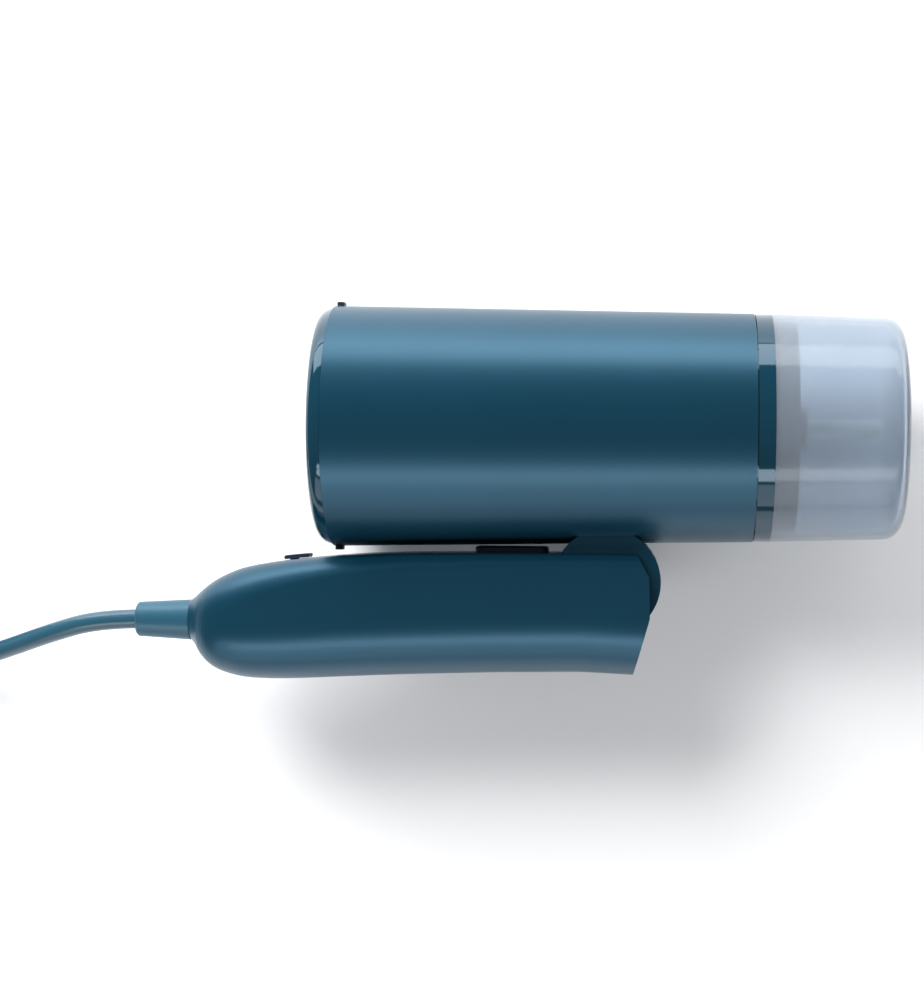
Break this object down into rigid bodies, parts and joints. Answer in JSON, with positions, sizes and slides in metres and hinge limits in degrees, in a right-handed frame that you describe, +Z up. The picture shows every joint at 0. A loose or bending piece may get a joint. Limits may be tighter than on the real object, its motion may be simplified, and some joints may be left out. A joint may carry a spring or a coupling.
{
  "type": "garment steamer",
  "caption": "Folding hand-held garment steamer lying folded on its side: tapering drum with a steam plate and a water tank, hinged handle, mains cord and plug",
  "frame": {"origin": "bottom centre of the steamer without its cord, on the surface it lies on", "axes": "+X along the drum towards the tank, +Y towards the top of the drum as held in use, +Z up"},
  "size_m": [0.3929, 0.1282, 0.0732],
  "materials": {
    "satin_teal": "satin pearl",
    "gloss_teal": "polished",
    "dark_trim": "fine texture",
    "frosted_tank": "frosted translucent",
    "grey_closure": "satin",
    "inner_plastic": "moulded",
    "clear_lens": "clear",
    "plate_coat": "brushed",
    "cast_alloy": "cast",
    "steel": "zinc plated",
    "copper_wire": "enamelled winding",
    "brass_parts": "nickel plated",
    "seal_rubber": "silicone",
    "hose_rubber": "silicone",
    "board_green": "solder mask",
    "cord_teal": "smooth jacket",
    "gland_teal": "satin",
    "plug_teal": "moulded"
  },
  "bodies": {
    "drum": {"body_shell": "satin_teal", "front_rim": "gloss_teal", "rim_hooks": "dark_trim", "steam_plate": "plate_coat", "plate_seal": "seal_rubber", "boiler_block": "cast_alloy", "heating_element": "steel", "boiler_cover": "steel", "boiler_screws": "steel", "thermostat": "inner_plastic", "thermal_fuse": "brass_parts", "heat_shield": "steel", "chassis": "inner_plastic", "pump_body": "inner_plastic", "pump_coil": "copper_wire", "pump_spring": "steel", "boiler_nozzle": "brass_parts", "outlet_hose": "hose_rubber", "inlet_hose": "hose_rubber", "rear_bulkhead": "inner_plastic", "tank_port": "inner_plastic", "port_seal": "seal_rubber", "control_board": "board_green", "hinge_knuckle": "satin_teal", "hinge_pin": "steel", "hinge_washers": "inner_plastic", "knuckle_plate": "steel", "knuckle_screws": "steel"},
    "piston": {"pump_piston": "steel"},
    "tank": {"tank_cup": "frosted_tank", "tank_collar": "gloss_teal", "tank_base": "grey_closure", "tank_seal": "seal_rubber", "filler_stopper": "hose_rubber", "tank_valve_spring": "steel", "suction_tube": "hose_rubber"},
    "valve": {"tank_valve": "inner_plastic"},
    "handle": {"handle_front_shell": "satin_teal", "handle_back_shell": "satin_teal", "handle_screws": "steel", "trigger_switch": "inner_plastic", "trigger_spring": "steel", "power_switch": "inner_plastic", "indicator_lens": "clear_lens", "detent_spring": "steel", "cord_gland": "gland_teal", "lead_tail": "cord_teal", "cord_clamp": "inner_plastic", "clamp_screws": "steel", "cord_coil": "cord_teal", "cord_tube": "cord_teal", "plug_relief": "plug_teal", "plug_body": "plug_teal", "plug_blades": "brass_parts", "cord_tie": "dark_trim"},
    "trigger_button": {"trigger": "dark_trim"},
    "slider": {"power_slider": "dark_trim"},
    "plunger": {"detent_plunger": "inner_plastic"}
  },
  "joints": [
    {"name": "handle_fold", "type": "hinge", "parent": "drum", "child": "handle", "pos_m": [0.0202, -0.0266, 0.0366], "axis": [0, 0, 1], "range_deg": [0, 90]},
    {"name": "tank_pull", "type": "slide", "parent": "drum", "child": "tank", "axis": [1, 0, 0], "range_m": [0, 0.06]},
    {"name": "valve_close", "type": "slide", "parent": "tank", "child": "valve", "axis": [-1, 0, 0], "range_m": [0, 0.002], "deforming": ["tank_valve_spring"]},
    {"name": "pump_stroke", "type": "slide", "parent": "drum", "child": "piston", "axis": [-1, 0, 0], "range_m": [0, 0.002], "stiffness_N_per_m": 300, "deforming": ["pump_spring"]},
    {"name": "trigger_press", "type": "slide", "parent": "handle", "child": "trigger_button", "axis": [0, -1, 0], "range_m": [0, 0.002], "stiffness_N_per_m": 400, "deforming": ["trigger_spring"]},
    {"name": "power_slide", "type": "slide", "parent": "handle", "child": "slider", "axis": [0.9952, 0.0976, 0], "range_m": [0, 0.004]},
    {"name": "detent_press", "type": "slide", "parent": "handle", "child": "plunger", "axis": [0, -1, 0], "range_m": [0, 0.0012], "stiffness_N_per_m": 500, "deforming": ["detent_spring"]}
  ],
  "couplings": [
    {"joint": "valve_close", "follows": "tank_pull", "ratio": 0.033333}
  ]
}
